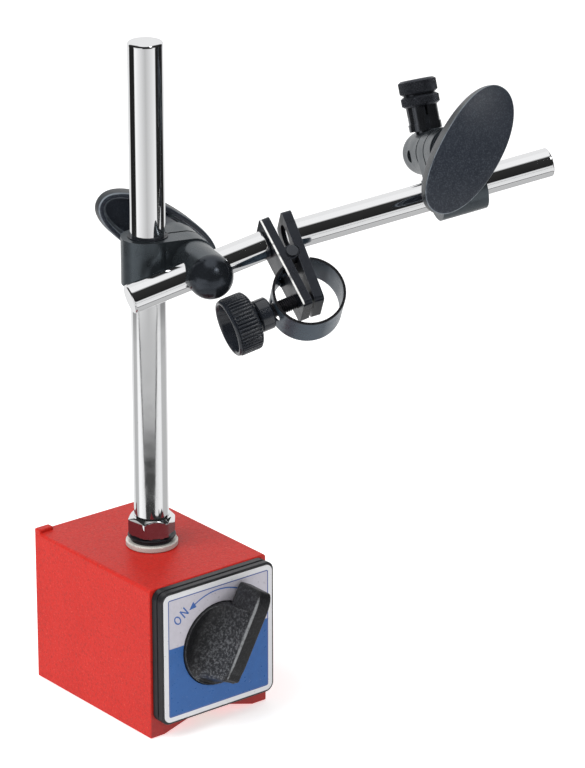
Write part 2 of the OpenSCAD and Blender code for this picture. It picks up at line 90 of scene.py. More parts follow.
arm_x = joint_axis("arm_slide")
arm_y = clamp_y
ARM = axes(joint_pos("arm_swivel"), arm_x, arm_y, arm_x.cross(arm_y))

plate_y = -joint_axis("fine_tilt")
PLATES = axes(joint_pos("arm_roll"), arm_x, plate_y, arm_x.cross(plate_y))

rod_x = joint_axis("holder_slide")
HINGE = axes(joint_pos("fine_tilt"), rod_x, plate_y, rod_x.cross(plate_y))
hinge_local = PLATES.inverted() @ joint_pos("fine_tilt")
rod_z = -hinge_local.z

hold_y = joint_axis("holder_knob_turn")
hold_x = hold_y.cross(rod_x)
hold_origin = joint_pos("holder_knob_turn") - hold_x * boss_offset * MM
HOLDER = axes(hold_origin, hold_x, hold_y, rod_x)

stem_x = joint_axis("stem_turn")
STEM = axes(joint_pos("stem_turn"), stem_x, hold_y, stem_x.cross(hold_y))

HANDLE_ANGLE = math.radians(28)
KNOB = axes(Vector((COLUMN_X, 0, joint_pos("switch_turn").z)),
            Vector((math.cos(HANDLE_ANGLE), 0, -math.sin(HANDLE_ANGLE))), Vector((0, 1, 0)),
            Vector((math.sin(HANDLE_ANGLE), 0, math.cos(HANDLE_ANGLE))))


# -------------------------------------------- mesh helpers

def finish_mesh(name, bm, place, body, material, stands_for=(), sharp=35, bevel=0.0,
                segments=2):
    """Turns a bmesh in local millimetres into a piece that rides on a body."""
    bmesh.ops.remove_doubles(bm, verts=bm.verts, dist=1e-4)
    bm.transform(place)
    bmesh.ops.recalc_face_normals(bm, faces=bm.faces)
    mesh = bpy.data.meshes.new(name)
    bm.to_mesh(mesh)
    bm.free()
    mesh.shade_smooth()
    mesh.set_sharp_from_angle(angle=math.radians(sharp))
    obj = bpy.data.objects.new(name, mesh)
    bpy.context.scene.collection.objects.link(obj)
    mesh.materials.append(material)
    if bevel:
        add_bevel(obj, bevel, segments)
    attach(obj, body)
    if stands_for:
        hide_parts(*stands_for)


def add_bevel(obj, width, segments):
    mod = obj.modifiers.new("edge", "BEVEL")
    mod.width = width * MM
    mod.segments = segments
    mod.limit_method = "ANGLE"
    mod.angle_limit = math.radians(BEVEL_ANGLE)
    mod.use_clamp_overlap = True
    mod.miter_outer = "MITER_ARC"
    mod.harden_normals = False


def ring_loft(bm, rings, caps=False):
    """Skins a list of closed rings, each a list of the same number of points."""
    loops = [[bm.verts.new(p) for p in ring] for ring in rings]
    count = len(loops[0])
    for a, b in zip(loops, loops[1:]):
        for i in range(count):
            j = (i + 1) % count
            bm.faces.new((a[i], a[j], b[j], b[i]))
    if caps:
        bm.faces.new(list(reversed(loops[0])))
        bm.faces.new(loops[-1])


def circle(radius, count, turn=0.0):
    """Points of a circle, the first one at an angle in radians."""
    angles = [2 * math.pi * i / count + turn for i in range(count)]
    return [(radius * math.cos(t), radius * math.sin(t)) for t in angles]


def lathe(bm, profile, axis, lift):
    """Turns (radius, height) points about the local x or z axis, lifted along z."""
    rings = []
    for radius, height in profile:
        rings.append([(height, u, v + lift) if axis == "x" else (u, v, height + lift)
                      for u, v in circle(radius, LATHE_STEPS)])
    ring_loft(bm, rings, caps=True)


def prism(bm, outline, lo, hi):
    """Closed prism along y from an outline in the x-z plane."""
    ring_loft(bm, [[(u, y, v) for u, v in outline] for y in (lo, hi)], caps=True)


def rounded_rect(width, height, radius, centre_z):
    """Outline of a rectangle with round corners, CORNER_STEPS to a corner."""
    points = []
    for cx, cy, start in QUADRANTS:
        for i in range(CORNER_STEPS + 1):
            t = math.radians(start + 90 * i / CORNER_STEPS)
            points.append((cx * (width / 2 - radius) + radius * math.cos(t),
                           centre_z + cy * (height / 2 - radius) + radius * math.sin(t)))
    return points


def box_of(name):
    """Corners of a CAD node in the column's frame, in millimetres."""
    return [[(v - d) / MM for v, d in zip(corner, (COLUMN_X, 0, 0))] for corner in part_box(name)]


def local_range(name, place, axis):
    """Extent of a CAD node along one axis of a local frame, in millimetres."""
    inverse = place.inverted()
    values = [(inverse @ v.co)[axis] for v in nodes[name].data.vertices]
    return min(values), max(values)


# -------------------------------------------- materials

def node_material(name):
    """New material, the short names for its tree and its principled shader."""
    mat = bpy.data.materials.new(name)
    mat.use_nodes = True
    return mat, Nodes(mat.node_tree), mat.node_tree.nodes["Principled BSDF"]


class Nodes:
    """Short names for building a node tree."""

    def __init__(self, tree):
        self.tree = tree
        self.coord = tree.nodes.new("ShaderNodeTexCoord")

    def add(self, kind, **props):
        node = self.tree.nodes.new(kind)
        for key, value in props.items():
            setattr(node, key, value)
        return node

    def link(self, a, b):
        self.tree.links.new(a, b)

    def noise(self, scale, detail=4, rough=0.55, vector=None):
        node = self.add("ShaderNodeTexNoise")
        node.inputs["Scale"].default_value = scale
        node.inputs["Detail"].default_value = detail
        node.inputs["Roughness"].default_value = rough
        self.link(vector or self.coord.outputs["Object"], node.inputs["Vector"])
        return node.outputs["Fac"]

    def voronoi(self, scale):
        node = self.add("ShaderNodeTexVoronoi")
        node.inputs["Scale"].default_value = scale
        self.link(self.coord.outputs["Object"], node.inputs["Vector"])
        return node.outputs["Distance"]

    def math(self, op, a, b=0.0):
        node = self.add("ShaderNodeMath", operation=op)
        for i, v in enumerate((a, b)):
            if isinstance(v, (int, float)):
                node.inputs[i].default_value = v
            else:
                self.link(v, node.inputs[i])
        return node.outputs[0]

    def times(self, a, b):
        return self.math("MULTIPLY", a, b)

    def span(self, value, lo, hi, out_lo, out_hi):
        """Maps lo..hi to out_lo..out_hi and holds the ends."""
        node = self.add("ShaderNodeMapRange", clamp=True)
        for key, v in zip(("From Min", "From Max", "To Min", "To Max"), (lo, hi, out_lo, out_hi)):
            node.inputs[key].default_value = v
        self.link(value, node.inputs["Value"])
        return node.outputs["Result"]

    def mix(self, factor, a, b):
        node = self.add("ShaderNodeMix", data_type="RGBA")
        for key, v in (("Factor", factor), ("A", a), ("B", b)):
            socket = [s for s in node.inputs if s.name == key and
                      s.type == ("VALUE" if key == "Factor" else "RGBA")][0]
            if isinstance(v, (int, float)):
                socket.default_value = v
            elif isinstance(v, tuple):
                socket.default_value = (*v, 1)
            else:
                self.link(v, socket)
        return [s for s in node.outputs if s.type == "RGBA"][0]

    def bump(self, height, strength, distance, normal=None):
        node = self.add("ShaderNodeBump")
        node.inputs["Strength"].default_value = strength
        node.inputs["Distance"].default_value = distance * MM
        self.link(height, node.inputs["Height"])
        if normal is not None:
            self.link(normal, node.inputs["Normal"])
        return node.outputs["Normal"]

    def dot(self, a, b):
        """Scalar product of a socket with another socket or a fixed vector."""
        node = self.add("ShaderNodeVectorMath", operation="DOT_PRODUCT")
        self.link(a, node.inputs[0])
        if isinstance(b, bpy.types.NodeSocket):
            self.link(b, node.inputs[1])
        else:
            node.inputs[1].default_value = b
        return node.outputs["Value"]

    def local(self, place, axis):
        """Coordinate of the point along one axis of a local frame, in millimetres."""
        direction = place.col[axis].xyz.normalized()
        along = self.dot(self.coord.outputs["Object"], direction)
        shifted = self.math("SUBTRACT", along, direction.dot(place.col[3].xyz))
        return self.math("DIVIDE", shifted, MM)

    def facing(self, direction):
        """How squarely the surface faces along a direction of the piece, either way."""
        geo = self.add("ShaderNodeNewGeometry")
        turn = self.add("ShaderNodeVectorTransform", vector_type="NORMAL",
                        convert_from="WORLD", convert_to="OBJECT")
        self.link(geo.outputs["Normal"], turn.inputs[0])
        return self.math("ABSOLUTE", self.dot(turn.outputs[0], direction))

    def edges(self, radius, lo=0.02, hi=0.25):
        """0 on flats, 1 on edges: how far a rounded normal leaves the true one."""
        soft = self.add("ShaderNodeBevel", samples=6)
        soft.inputs["Radius"].default_value = radius * MM
        geo = self.add("ShaderNodeNewGeometry")
        away = self.math("SUBTRACT", 1.0, self.dot(soft.outputs["Normal"], geo.outputs["Normal"]))
        return self.span(away, lo, hi, 0, 1)

    def specks(self, scale, size, patch_scale, patch_level):
        """Small round dots, kept only where a slower noise is high."""
        dots = self.span(self.voronoi(scale), 0.0, size, 1, 0)
        return self.times(dots, self.math("GREATER_THAN", self.noise(patch_scale, 2), patch_level))


def red_paint():
    """Speckled enamel with an orange-peel surface; its edges are lightened, partly scuffing and
    partly a painted highlight, and the front face's bottom strip carries painted shade.
    """
    mat, n, bsdf = node_material("red_paint")
    cloud = n.noise(60, 3)
    grain = n.noise(1500, 3, 0.7)
    base = n.mix(cloud, (0.54, 0.015, 0.009), (0.62, 0.022, 0.014))
    base = n.mix(n.span(n.noise(1100, 4, 0.8), 0.5, 0.66, 0, 0.75), base, (0.34, 0.016, 0.012))
    pale = n.span(n.noise(1300, 3, 0.8), 0.60, 0.68, 0, 0.55)
    base = n.mix(pale, base, (0.80, 0.13, 0.08))
    dots = n.specks(900, 0.12, 420, 0.60)
    base = n.mix(n.times(dots, 0.45), base, (0.24, 0.02, 0.02))
    # edges lightened: partly scuffing, partly a painted highlight
    edge_wear_and_light = n.times(n.edges(0.5), n.span(n.noise(300, 4, 0.7), 0.45, 0.7, 0, 1))
    base = n.mix(n.times(edge_wear_and_light, 0.55), base, (0.78, 0.22, 0.17))
    # painted shade: the front face's bottom strip, under the bezel, is darkened
    front = n.times(n.span(n.facing((0, 1, 0)), 0.8, 0.95, 0, 1),
                   n.span(n.local(ROW, 2), 5, 12, 1, 0))
    base = n.mix(n.times(front, 0.5), base, (0.16, 0.03, 0.032))
    # painted reflection: rays reflected off other parts see the paint as a deep maroon, which
    # shows in the bright metal around it
    seen = n.add("ShaderNodeLightPath").outputs["Is Glossy Ray"]
    n.link(n.mix(seen, base, (0.16, 0.014, 0.018)), bsdf.inputs["Base Color"])
    n.link(n.span(grain, 0.3, 0.7, 0.38, 0.56), bsdf.inputs["Roughness"])
    bsdf.inputs["Specular IOR Level"].default_value = 0.32
    bsdf.inputs["Coat Weight"].default_value = 0.04
    bsdf.inputs["Coat Roughness"].default_value = 0.3
    peel = n.bump(n.noise(420, 2), 0.30, 0.25)
    n.link(n.bump(grain, 0.42, 0.16, peel), bsdf.inputs["Normal"])
    return mat


def black_plastic(name, base, rough, grain_scale, grain_strength, shine=0.0):
    mat, n, bsdf = node_material(name)
    fine = n.noise(grain_scale, 3, 0.65)
    cloud = n.noise(120, 3)
    light = tuple(min(1, c * 1.7 + 0.004) for c in base)
    col = n.mix(cloud, base, light)
    # edges lightened: partly scuffing, partly a painted highlight along them
    rub_and_highlight = n.times(n.edges(0.6), n.span(n.noise(500, 4, 0.7), 0.42, 0.7, 0, 1))
    col = n.mix(n.times(rub_and_highlight, 0.35), col, tuple(c * 4 + 0.03 for c in base))
    n.link(col, bsdf.inputs["Base Color"])
    n.link(n.span(fine, 0.3, 0.7, rough - 0.08, rough + 0.1), bsdf.inputs["Roughness"])
    bsdf.inputs["Specular IOR Level"].default_value = 0.5
    bsdf.inputs["Coat Weight"].default_value = shine
    bsdf.inputs["Coat Roughness"].default_value = 0.12
    n.link(n.bump(fine, grain_strength, 0.12), bsdf.inputs["Normal"])
    return mat


def wing_plastic(name, axis):
    """Blue-black moulding with a leather grain, a thin pale line of painted highlight along its
    rounded edges, and painted shade on its side walls.
    """
    mat, n, bsdf = node_material(name)
    grain = n.noise(1900, 4, 0.75)
    cloud = n.noise(120, 3)
    col = n.mix(cloud, (0.013, 0.017, 0.026), (0.022, 0.027, 0.038))
    col = n.mix(n.span(grain, 0.50, 0.60, 0, 0.6), col, (0.055, 0.066, 0.082))
    square = n.facing(axis)
    # painted highlight: a thin pale line where the face turns into the wall
    line = n.times(n.span(square, 0.16, 0.34, 0, 1), n.span(square, 0.74, 0.86, 1, 0))
    line = n.times(line, n.span(n.noise(300, 3), 0.32, 0.5, 0.25, 0.8))
    col = n.mix(line, col, (0.20, 0.23, 0.26))
    # painted shade: the side walls, square to the face, are darkened
    wall = n.span(square, 0.05, 0.14, 1, 0)
    col = n.mix(n.times(wall, 0.8), col, (0.007, 0.011, 0.014))
    n.link(col, bsdf.inputs["Base Color"])
    n.link(n.span(grain, 0.3, 0.7, 0.30, 0.46), bsdf.inputs["Roughness"])
    n.link(n.bump(grain, 0.35, 0.12), bsdf.inputs["Normal"])
    return mat


def grained_plastic():
    """Black plastic with a coarse spark texture; a painted highlight lies on the slope up to the
    handle's left side and along its left front edge, and its edges are lightened, partly scuffing
    and partly painted highlight.
    """
    mat, n, bsdf = node_material("switch_plastic")
    across, depth = n.local(KNOB, 0), n.local(KNOB, 1)
    grain = n.noise(1250, 4, 0.75)
    spark = n.span(grain, 0.48, 0.60, 0, 1)
    col = n.mix(spark, (0.006, 0.006, 0.007), (0.024, 0.025, 0.028))
    # painted highlight on the slope that rises to the handle's left side, strongest next to the
    # handle
    side_highlight = n.times(n.span(across, -9.5, -3.4, 0, 1),
                   n.span(across, -2.95, -2.75, 1, 0))
    side_highlight = n.times(side_highlight, n.span(n.local(KNOB, 2), 0, 15, 0.95, 0.22))
    col = n.mix(side_highlight, col, n.mix(spark, (0.018, 0.019, 0.022), (0.13, 0.135, 0.145)))
    # painted highlight: a thin line along the handle's left front edge
    ridge_highlight = n.times(n.span(across, -3.5, -3.1, 0, 1),
                   n.span(across, -2.55, -2.35, 1, 0))
    ridge_highlight = n.times(ridge_highlight, n.span(depth, RIDGE_Y, RIDGE_Y + 0.5, 1, 0))
    # edges lightened, partly scuffing and partly painted highlight; the painted line along the
    # handle's edge joins them
    rub_and_highlight = n.times(n.edges(0.7, 0.02, 0.16), n.span(grain, 0.38, 0.6, 0.1, 0.6))
    rub_and_highlight = n.math("MAXIMUM", rub_and_highlight, n.times(ridge_highlight, n.span(grain, 0.35, 0.5, 0.4, 1)))
    col = n.mix(n.times(rub_and_highlight, 0.65), col, (0.30, 0.31, 0.32))
    n.link(col, bsdf.inputs["Base Color"])
    n.link(n.span(grain, 0.3, 0.7, 0.34, 0.55), bsdf.inputs["Roughness"])
    bsdf.inputs["Specular IOR Level"].default_value = 0.5
    n.link(n.bump(grain, 0.9, 0.16), bsdf.inputs["Normal"])
    return mat


def blued_steel(name, base=(0.020, 0.024, 0.033), rough=0.34, edge_tone=(0.20, 0.22, 0.25),
                metallic=0.55, grain=0.18, cap=None, rim=None, corner=None):
    """Blackened steel whose edges take a given colour: where lighter, partly scuffing and partly a
    painted highlight. cap gives one end a darker, glossier finish, rim darkens the faces square to
    an axis, and corner paints a near-white highlight line along one edge.
    """
    mat, n, bsdf = node_material(name)
    cloud = n.noise(180, 4, 0.6)
    fine = n.noise(2600, 3, 0.6)
    col = n.mix(cloud, base, tuple(c * 1.9 for c in base))
    # edges take the given edge colour; where lighter, partly scuffing and partly a painted
    # highlight
    edge_wear_and_light = n.times(n.edges(0.35), n.span(n.noise(700, 4, 0.7), 0.35, 0.65, 0.15, 1))
    col = n.mix(n.times(edge_wear_and_light, 0.7), col, edge_tone)
    matt = n.span(cloud, 0.3, 0.7, rough - 0.07, rough + 0.1)
    if cap:
        place, end = cap
        outside = n.span(n.local(place, 1), end - 0.1, end + 0.1, 1, 0)
        col = n.mix(outside, col, (0.046, 0.053, 0.064))
        matt = n.math("SUBTRACT", matt, n.times(outside, 0.06))
    if rim is not None:
        col = n.mix(n.span(n.facing(rim), 0.75, 0.9, 0, 1), col, (0.006, 0.006, 0.008))
    # painted highlight: a near-white, less metallic line along one edge of the piece
    if corner:
        place, x, y = corner
        line = n.times(n.span(n.local(place, 0), x + 0.42, x + 0.62, 1, 0),
                      n.span(n.local(place, 1), y + 0.42, y + 0.62, 1, 0))
        line = n.times(line, n.span(n.noise(260, 3), 0.34, 0.46, 0.35, 1))
        col = n.mix(line, col, (0.86, 0.86, 0.84))
        n.link(n.math("SUBTRACT", metallic, n.times(line, metallic)),
               bsdf.inputs["Metallic"])
    else:
        bsdf.inputs["Metallic"].default_value = metallic
    n.link(col, bsdf.inputs["Base Color"])
    bsdf.inputs["Specular IOR Level"].default_value = 0.6
    n.link(matt, bsdf.inputs["Roughness"])
    n.link(n.bump(fine, grain, 0.05), bsdf.inputs["Normal"])
    return mat


def chrome():
    """Mirror plating with a faint haze, a ripple and rare pits."""
    tint, rough = (0.92, 0.925, 0.935), 0.03
    mat, n, bsdf = node_material("chrome")
    haze = n.noise(90, 4, 0.6)
    dots = n.specks(420, 0.085, 260, 0.64)
    col = n.mix(n.times(dots, 0.75), tint, (0.30, 0.29, 0.28))
    n.link(col, bsdf.inputs["Base Color"])
    bsdf.inputs["Metallic"].default_value = 1.0
    smooth = n.span(haze, 0.35, 0.7, rough, rough + 0.05)
    n.link(n.math("ADD", smooth, n.times(dots, 0.3)), bsdf.inputs["Roughness"])
    ripple = n.bump(n.noise(55, 2), 0.06, 0.25)
    n.link(n.bump(dots, 0.25, 0.04, ripple), bsdf.inputs["Normal"])
    return mat


def plain_metal(name, base, rough, metallic=1.0, scale=2200):
    mat, n, bsdf = node_material(name)
    cloud = n.noise(200, 4, 0.6)
    fine = n.noise(scale, 3, 0.7)
    n.link(n.mix(cloud, tuple(c * 0.78 for c in base), base), bsdf.inputs["Base Color"])
    bsdf.inputs["Metallic"].default_value = metallic
    n.link(n.span(fine, 0.3, 0.7, rough - 0.06, rough + 0.1), bsdf.inputs["Roughness"])
    n.link(n.bump(fine, 0.15, 0.05), bsdf.inputs["Normal"])
    return mat


M_RED = red_paint()
M_BEZEL = black_plastic("bezel_plastic", (0.010, 0.010, 0.012), 0.38, 2400, 0.12, 0.1)
RIDGE_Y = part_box("label_plate")[0][1] / MM - 13.45
M_DIAL = grained_plastic()
M_THUMB = black_plastic("thumb_plastic", (0.008, 0.010, 0.014), 0.24, 2600, 0.06, 0.5)
M_BLUED = blued_steel("blued_steel", (0.014, 0.016, 0.021), 0.30, (0.20, 0.22, 0.25))
# the band is darker at its rounded edges, and rim darkens its faces turned along the plates' y
# axis
M_SPRING = blued_steel("spring_steel", (0.036, 0.052, 0.070), 0.27, (0.012, 0.013, 0.016),
                       grain=0.05, rim=plate_y)
M_SLEEVE = blued_steel("sleeve_steel", (0.052, 0.062, 0.070), 0.28, metallic=0.8, grain=0.08)
M_DOME = blued_steel("domed_steel", (0.052, 0.062, 0.070), 0.26, metallic=0.8, grain=0.06,
                     cap=(ARM, local_range("arm_sleeve", ARM, 1)[0] + 7.7))
# corner: painted highlight along the left plate's front-left edge
M_HIGHLIT_EDGE = blued_steel("steel_with_edge_highlight", (0.014, 0.016, 0.021), 0.30, (0.20, 0.22, 0.25),
                      corner=(PLATES, local_range("left_plate", PLATES, 0)[0],
                              local_range("left_plate", PLATES, 1)[0]))
M_BARREL = blued_steel("barrel_steel", (0.06, 0.064, 0.072), 0.11, metallic=0.9, grain=0.03)
M_SCREW = blued_steel("screw_steel", (0.016, 0.016, 0.019), 0.30, (0.12, 0.12, 0.13))
M_KNURL = blued_steel("knurl_steel", (0.035, 0.038, 0.046), 0.24, (0.20, 0.21, 0.23), 0.8)
M_CHROME = chrome()
M_PALE = plain_metal("pale_steel", (0.86, 0.84, 0.78), 0.30, 0.35)
M_ZINC = plain_metal("zinc_steel", (0.62, 0.62, 0.60), 0.30)
M_BRASS = plain_metal("brass", (0.60, 0.42, 0.16), 0.34)
M_STEEL = plain_metal("plain_steel", (0.42, 0.42, 0.42), 0.32)
M_CORE = plain_metal("core_alloy", (0.60, 0.61, 0.63), 0.38)
M_MAGNET = plain_metal("magnet", (0.07, 0.07, 0.075), 0.6, 0.3, 900)
M_IRON = plain_metal("soft_iron", (0.22, 0.21, 0.21), 0.45)
M_LABEL_INK = plain_metal("label_ink", (0.045, 0.13, 0.42), 0.35, 0.0)


# -------------------------------------------- block and switch

block_lo, block_hi = box_of("pole_left")
block_half = -block_lo[0]
block_front, block_back, block_top = block_lo[1], block_hi[1], block_hi[2]
strip_lo, strip_hi = box_of("spacer_bottom")
switch_z = joint_pos("switch_turn").z / MM
groove_half, groove_top, top_chamfer, bore = 19.0, strip_lo[2], 0.7, 14.1
seam_lap, block_edge = 0.9, 0.45


def block_skin():
    """Painted outside of the block: poles and bridge in one coat, with the switch bore."""
    strip, steps = strip_hi[0], 72
    start = math.asin(strip / bore)
    outline = []
    for i in range(steps + 1):
        t = start + (2 * math.pi - 2 * start) * i / steps
        outline.append((-bore * math.sin(t), switch_z - bore * math.cos(t)))
    outline += [(strip, groove_top), (groove_half, 0), (block_half, 0),
                (block_half, block_top - top_chamfer), (block_half - top_chamfer, block_top),
                (-block_half + top_chamfer, block_top), (-block_half, block_top - top_chamfer),
                (-block_half, 0), (-groove_half, 0), (-strip, groove_top)]
    bm = bmesh.new()
    prism(bm, outline, block_front, block_back + seam_lap)
    finish_mesh("block_skin", bm, ROW, "base", M_RED,
                ("pole_left", "pole_right", "spacer_top"), bevel=block_edge, segments=3)


def rear_plate():
    """Rear plate with the block's outline and two corner lugs, painted over the joint."""
    lo, hi = box_of("rear_cover")
    outline = [(-groove_half, 0), (-block_half, 0), (-block_half, block_top - top_chamfer),
               (-block_half + top_chamfer, block_top), (block_half - top_chamfer, block_top),
               (block_half, block_top - top_chamfer), (block_half, 0), (groove_half, 0),
               (0, groove_top)]
    lug = 6.0
    bm = bmesh.new()
    prism(bm, outline, lo[1], hi[1])
    for x in (-block_half, block_half - lug):
        prism(bm, [(x, block_top - 1), (x + lug, block_top - 1), (x + lug, hi[2]), (x, hi[2])],
              lo[1], hi[1])
    finish_mesh("rear_plate", bm, ROW, "base", M_RED, ("rear_cover",),
                bevel=block_edge, segments=3)


block_skin()
rear_plate()

bezel_lo, bezel_hi = box_of("front_bezel")
label_lo, label_hi = box_of("label_plate")
label_corner = 2.6
bezel_zc = (bezel_lo[2] + bezel_hi[2]) / 2
bezel_hole = 15.15
SLAB_STEP = 4.0         # longest edge of a slab's outline


def framed_slab(bm, width, height, radius, y0, y1, hole=bezel_hole):
    """Rounded rectangle with the switch's round hole, between two depths."""
    outline = rounded_rect(width, height, radius, bezel_zc)
    dense = []
    for a, b in zip(outline, outline[1:] + outline[:1]):
        parts = max(1, round(math.dist(a, b) / SLAB_STEP))
        for k in range(parts):
            dense.append((a[0] + (b[0] - a[0]) * k / parts, a[1] + (b[1] - a[1]) * k / parts))
    inner = []
    for u, v in dense:
        t = math.atan2(v - switch_z, u)
        inner.append((hole * math.cos(t), switch_z + hole * math.sin(t)))
    rings = [[(u, y, v) for u, v in points]
             for y, points in ((y0, dense), (y1, dense), (y1, inner), (y0, inner), (y0, dense))]
    ring_loft(bm, rings)


def bezel():
    """Black surround with a shadow line half way."""
    bm = bmesh.new()
    width, height = bezel_hi[0] - bezel_lo[0], bezel_hi[2] - bezel_lo[2]
    y_back, y_front = bezel_hi[1], bezel_lo[1]
    y_mid, groove, inset = y_back - 2.6, 0.48, 0.4
    framed_slab(bm, width, height, 3.4, y_back, y_mid)
    framed_slab(bm, width - 0.9, height - 0.9, 3.0, y_mid + inset, y_mid - groove - inset,
                bezel_hole + inset)
    framed_slab(bm, width, height, 3.2, y_mid - groove, y_front + 0.3)
    finish_mesh("bezel", bm, ROW, "base", M_BEZEL,
                ("front_bezel",), bevel=0.35, segments=3)


bezel()


def label_material():
    """Sheet label: bare rim, thin border line, pale upper field and blue lower field."""
    mat, n, bsdf = node_material("label_print")
    x, z = n.local(ROW, 0), n.local(ROW, 2)
    half_w = (label_hi[0] - label_lo[0]) / 2
    half_h = (label_hi[2] - label_lo[2]) / 2
    zc = (label_hi[2] + label_lo[2]) / 2
    # signed distance to the rounded outline, negative inside
    ax = n.math("SUBTRACT", n.math("ABSOLUTE", x), half_w - label_corner)
    az = n.math("SUBTRACT", n.math("ABSOLUTE", n.math("SUBTRACT", z, zc)), half_h - label_corner)
    px = n.math("MAXIMUM", ax, 0.0)
    pz = n.math("MAXIMUM", az, 0.0)
    far = n.math("SQRT", n.math("ADD", n.times(px, px), n.times(pz, pz)))
    near = n.math("MINIMUM", n.math("MAXIMUM", ax, az), 0.0)
    depth = n.math("SUBTRACT", label_corner, n.math("ADD", far, near))
    blue = (0.027, 0.115, 0.350)
    pale = (0.56, 0.54, 0.60)
    bare = (0.72, 0.72, 0.74)
    mottled = n.mix(n.noise(900, 4, 0.7), tuple(c * 0.86 for c in pale),
                    tuple(min(1, c * 1.1) for c in pale))
    low = n.mix(n.noise(300, 3), tuple(c * 0.86 for c in blue), tuple(c * 1.14 for c in blue))
    lower = n.span(z, 34.0, 34.25, 1, 0)
    field = n.mix(lower, mottled, low)
    line = n.times(n.span(depth, 1.72, 1.80, 0, 1), n.span(depth, 2.10, 2.18, 1, 0))
    inner = n.span(depth, 2.10, 2.18, 0, 1)
    field = n.mix(inner, bare, field)
    field = n.mix(line, field, (0.040, 0.085, 0.30))
    scuff = n.times(n.span(n.noise(1400, 5, 0.8), 0.62, 0.7, 0, 1), 0.3)
    field = n.mix(scuff, field, (0.62, 0.62, 0.66))
    n.link(field, bsdf.inputs["Base Color"])
    bsdf.inputs["Metallic"].default_value = 0.15
    n.link(n.span(n.noise(700, 3), 0.3, 0.7, 0.26, 0.4), bsdf.inputs["Roughness"])
    brushed = n.add("ShaderNodeMapping")
    brushed.inputs["Scale"].default_value = (1, 1, 0.06)
    n.link(n.coord.outputs["Object"], brushed.inputs["Vector"])
    grain = n.noise(2500, 3, 0.6, brushed.outputs["Vector"])
    n.link(n.bump(grain, 0.10, 0.03), bsdf.inputs["Normal"])
    return mat


def label():
    bm = bmesh.new()
    width, height = label_hi[0] - label_lo[0], label_hi[2] - label_lo[2]
    framed_slab(bm, width, height, label_corner, label_hi[1], label_lo[1])
    finish_mesh("label", bm, ROW, "base", label_material(),
                ("label_plate",), bevel=0.12, segments=2)


label()
ink_y0, ink_y1 = label_lo[1] + 0.05, label_lo[1] - 0.015


def ink(name, outlines):
    """Flat printed shapes, each a closed outline in the label's plane."""
    bm = bmesh.new()
    for outline in outlines:
        prism(bm, outline, ink_y0, ink_y1)
    finish_mesh(name, bm, ROW, "base", M_LABEL_INK)


def polar(radius, degrees):
    t = math.radians(degrees)
    return radius * math.sin(t), switch_z + radius * math.cos(t)


def arrow():
    """Arc with a head at each end, over the dial."""
    radius, half, first, last = 19.8, 0.23, -31, 27
    outer = [polar(radius + half, first + (last - first) * i / 40) for i in range(41)]
    inner = [polar(radius - half, first + (last - first) * i / 40) for i in range(41)]
    shapes = [outer + inner[::-1]]
    for base, tip in ((-30.5, -39.0), (26.5, 35.0)):
        shapes.append([polar(radius + 1.35, base), polar(radius + 0.1, tip),
                       polar(radius - 1.35, base)])
    ink("arrow", shapes)


arrow()


def turned(points, centre, degrees):
    t = math.radians(degrees)
    c, s = math.cos(t), math.sin(t)
    return [(centre[0] + u * c - v * s, centre[1] + u * s + v * c) for u, v in points]


def on_mark():
    """The two letters of the ON position."""
    tilt, pen, o_half, w, h = 38, 0.52, 1.3, 1.2, 1.8
    o_at, n_at = (-17.4, 43.9), (-14.6, 46.05)
    outer, inner = (turned([(a * u, b * v) for u, v in circle(1, 28)], o_at, tilt)
                    for a, b in ((o_half, h), (o_half - pen, h - pen)))
    bm = bmesh.new()
    ring_loft(bm, [[(u, y, v) for u, v in edge] for edge, y in (
        (outer, ink_y0), (outer, ink_y1), (inner, ink_y1), (inner, ink_y0), (outer, ink_y0))])
    joint = h - 2 * h * pen / (2 * w - pen)
    letter = [(-w, -h), (-w + pen, -h), (-w + pen, joint), (w - pen, -h), (w, -h),
              (w, h), (w - pen, h), (w - pen, -joint), (-w + pen, h), (-w, h)]
    prism(bm, turned(letter, n_at, tilt), ink_y0, ink_y1)
    finish_mesh("on_mark", bm, ROW, "base", M_LABEL_INK)


on_mark()

# switch knob: dished dial swept up into a tall handle
dial_r = 14.8
dial_back = -31.9
dial_rim = label_lo[1] - 0.9
handle_top_y = label_lo[1] - 14.0
handle_half, handle_tip, handle_tail = 3.0, 22.5, 10.5


def dial_front(u, v):
    """Depth of the dial's front: a dish that sweeps up to the handle's sides."""
    r = math.hypot(u, v)
    dish = dial_rim + 3.4 * max(0.0, 1 - (r / dial_r) ** 2)
    side = max(0.0, abs(u) - (handle_half - 0.25))
    rise = max(0.0, 1 - side / 9.5) ** 3.1
    fade = max(0.0, min(1.0, (handle_tail + 3.5 + v) / 5))
    fade = fade * fade * (3 - 2 * fade)
    return dish + (handle_top_y + 0.55 - dish) * rise * fade


def switch_knob():
    """Dial: a short cylinder closed by the dished front."""
    spokes, steps = 144, 46
    rim = circle(dial_r, spokes)
    rings = [[(u, dial_back, v) for u, v in rim],
             [(u, min(dial_back, dial_front(u, v) + 0.2), v) for u, v in rim]]
    radii = [0.02] + [dial_r * i / steps for i in range(1, steps)] + [dial_r - 0.12]
    for radius in reversed(radii):
        rings.append([(u, dial_front(u, v), v) for u, v in circle(radius, spokes)])
    bm = bmesh.new()
    ring_loft(bm, rings, caps=True)
    finish_mesh("switch_dial", bm, KNOB, "switch", M_DIAL, sharp=50)


